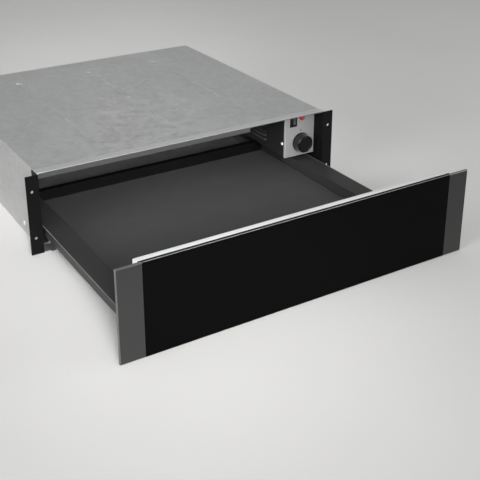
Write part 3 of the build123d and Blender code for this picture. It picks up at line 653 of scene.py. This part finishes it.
def round_head(radius, height, recess):
    """Mesh data of a domed head standing on Z nought, with a cross recess if it has one."""
    rim, facets, steps = 0.35, 7, 28
    angles = [radians(90 * step / facets) for step in range(facets + 1)]
    dome = [(radius * sin(angle), height * (rim + (1 - rim) * cos(angle))) for angle in angles]
    head = bmesh.new()
    add_turned(head, dome + [(radius, 0), (0, 0)], steps)
    bmesh.ops.recalc_face_normals(head, faces=head.faces)
    for face in head.faces:
        face.smooth = True
    data = mesh_data("head", head)
    return cut_cross(data, radius, height) if recess else data


def fasteners(node, body, outward, recess):
    """Finished heads in place of a node's plain ones; outward gives each head's own direction."""
    turn_between = 0.7
    heads = bmesh.new()
    for number, (low, high) in enumerate(loose_heads(node)):
        middle = (low + high) / 2
        half = (high - low) / 2
        out = outward(middle)
        height = 2 * abs(half.dot(out))
        data = round_head(max(half), height, recess)
        foot = Matrix.Translation(middle - out * height / 2)
        upright = out.to_track_quat("Z", "Y").to_matrix().to_4x4()
        data.transform(foot @ upright @ Matrix.Rotation(turn_between * number, 4, "Z"))
        join(heads, data)
    made = piece(node + "_finished", heads, finishes["screw_steel"], body)
    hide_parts(node)


fasteners("casing_screws", "housing", lambda middle: OUT_LEFT, recess=True)
fasteners("rear_screws", "housing", lambda middle: OUT_BACK, recess=True)
fasteners("bracket_screws", "drawer", lambda middle: OUT_BELOW, recess=True)
fasteners("runner_rivets", "housing", lambda middle: OUT_LEFT if middle.x < 0 else OUT_RIGHT, recess=False)


# Marks on the control panel
INK_SHEET = 0.06 * MM
knob_low, knob_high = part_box("knob")
knob_centre = (knob_low + knob_high) / 2
panel_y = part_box("control_fascia")[0].y
dark_ink = printed("dark ink", 20)
pale_ink = printed("pale ink", 120)
pointer_ink = printed("pointer ink", 60)


def add_disc(mesh, x, z, radius, hole=0.0):
    """Adds a thin printed disc or ring on the control panel."""
    steps = 24
    disc = bmesh.new()
    rim = [(radius, 0), (radius, INK_SHEET)]
    if hole:
        add_turned(disc, rim + [(hole, INK_SHEET), (hole, 0), (radius, 0)], steps)
        bmesh.ops.remove_doubles(disc, verts=disc.verts, dist=WELD_DISTANCE)
    else:
        add_turned(disc, [(0, 0)] + rim + [(0, INK_SHEET)], steps)
    bmesh.ops.recalc_face_normals(disc, faces=disc.faces)
    disc.transform(Matrix.Translation((x, panel_y, z)) @ Matrix.Rotation(pi / 2, 4, "X"))
    join(mesh, mesh_data("disc", disc))


def index_dot():
    """Dot above the knob, where its pointer stands at rest."""
    above_knob, radius = 23.4 * MM, 1.4 * MM
    mesh = bmesh.new()
    add_disc(mesh, knob_centre.x, knob_centre.z + above_knob, radius)
    piece("index_dot", mesh, dark_ink, "housing")


def heat_scale():
    """Four strokes round the knob, longer for more heat."""
    strokes, degrees_apart = 4, 67.5
    start, half_width = 19.6 * MM, 0.3 * MM
    base_length, growth = 1.0 * MM, 0.35 * MM
    mesh = bmesh.new()
    hub = Matrix.Translation((knob_centre.x, panel_y, knob_centre.z))
    for number in range(1, strokes + 1):
        turn = hub @ Matrix.Rotation(radians(degrees_apart * number), 4, "Y")
        end = start + base_length + growth * number
        add_block(mesh, (-half_width, -INK_SHEET, start), (half_width, 0, end), turn)
    piece("heat_scale", mesh, pale_ink, "housing")


def switch_marks():
    """Bar and ring under the switch."""
    below_switch, from_middle = 5.5 * MM, 2.0 * MM
    ring, hole, half_bar = 1.5 * MM, 1.1 * MM, 0.2 * MM
    low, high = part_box("switch_body")
    middle = (low.x + high.x) / 2
    bar = middle - from_middle
    level = low.z - below_switch
    mesh = bmesh.new()
    add_disc(mesh, middle + from_middle, level, ring, hole)
    add_block(mesh, (bar - half_bar, panel_y - INK_SHEET, level - ring),
              (bar + half_bar, panel_y, level + ring))
    piece("switch_marks", mesh, pale_ink, "housing")


def knob_pointer():
    """Paint in the knob's pointer notch."""
    reach, length, half_width = 15.7 * MM, 4.2 * MM, 0.6 * MM
    paint_front, paint_back = 0.9 * MM, 1.28 * MM
    top = knob_centre.z + reach
    mesh = bmesh.new()
    add_block(mesh, (knob_centre.x - half_width, knob_low.y + paint_front, top - length),
              (knob_centre.x + half_width, knob_low.y + paint_back, top))
    piece("knob_pointer", mesh, pointer_ink, "knob")


index_dot()
heat_scale()
switch_marks()
knob_pointer()


# Studio
def studio_floor():
    """Wide matt pale floor under the housing."""
    radius, segments = 14.0, 96
    finish = Finish("studio floor", Specular_IOR_Level=0.0)
    cloud = finish.grain(400 * MM)
    finish.wear({"Base Color": finish.blend(cloud, screen(214, 213, 211), screen(220, 219, 217)),
                 "Roughness": 0.6 + cloud.swing(0.1)})
    mesh = bmesh.new()
    bmesh.ops.create_circle(mesh, cap_ends=True, segments=segments, radius=radius)
    data = mesh_data("studio_floor", mesh)
    data.materials.append(finish.material)
    floor = in_scene("studio_floor", data)


def look_along(made, direction):
    """Turns a lamp or a camera to look along a direction."""
    made.rotation_euler = direction.to_track_quat("-Z", "Y").to_euler()


def soft_light(name, place, aim, size, power, spread=180):
    """A square softbox aimed at a point, whose light can be kept to a narrower angle."""
    lamp = bpy.data.lights.new(name, "AREA")
    lamp.size = size
    lamp.energy = power
    lamp.spread = radians(spread)
    made = in_scene(name, lamp)
    made.location = place
    look_along(made, Vector(aim) - Vector(place))


def daylight():
    """Even light from all round."""
    world = bpy.data.worlds.new("studio")
    world.use_nodes = True
    around = world.node_tree.nodes["Background"]
    around.inputs["Color"].default_value = (0.86, 0.87, 0.88, 1.0)
    around.inputs["Strength"].default_value = 0.46
    bpy.context.scene.world = world


def photograph_camera():
    """Camera at the photograph's place, with its frame moved down."""
    picture_pixels, focal_pixels = 480, 912
    sensor_width = 36.0
    yaw, pitch = radians(31.70), radians(21.72)
    lens = bpy.data.cameras.new("camera")
    lens.sensor_width = sensor_width
    lens.lens = sensor_width * focal_pixels / picture_pixels
    lens.shift_y = -0.2
    made = in_scene("camera", lens)
    made.location = (-0.6849, -1.2614, 0.7014)
    look_along(made, Vector((sin(yaw) * cos(pitch), cos(yaw) * cos(pitch), -sin(pitch))))
    bpy.context.scene.camera = made


studio_floor()
daylight()
soft_light("overhead", place=(-0.2, -0.6, 3.0), aim=(0, -0.1, 0), size=3.4, power=8)
soft_light("left", place=(-3.2, -1.0, 1.0), aim=(0, -0.1, 0.05), size=1.6, power=18, spread=90)
soft_light("right", place=(2.2, -1.6, 1.3), aim=(0.1, -0.1, 0.05), size=1.5, power=13)
soft_light("front", place=(-0.9, -2.3, 2.3), aim=(0.05, -0.1, 0.08), size=1.6, power=18)
soft_light("into the bay", place=(-0.55, -1.6, 0.85), aim=(0.0, 0.2, 0.05), size=0.5, power=1.8, spread=27)
photograph_camera()
bpy.context.scene.view_settings.view_transform = "Standard"
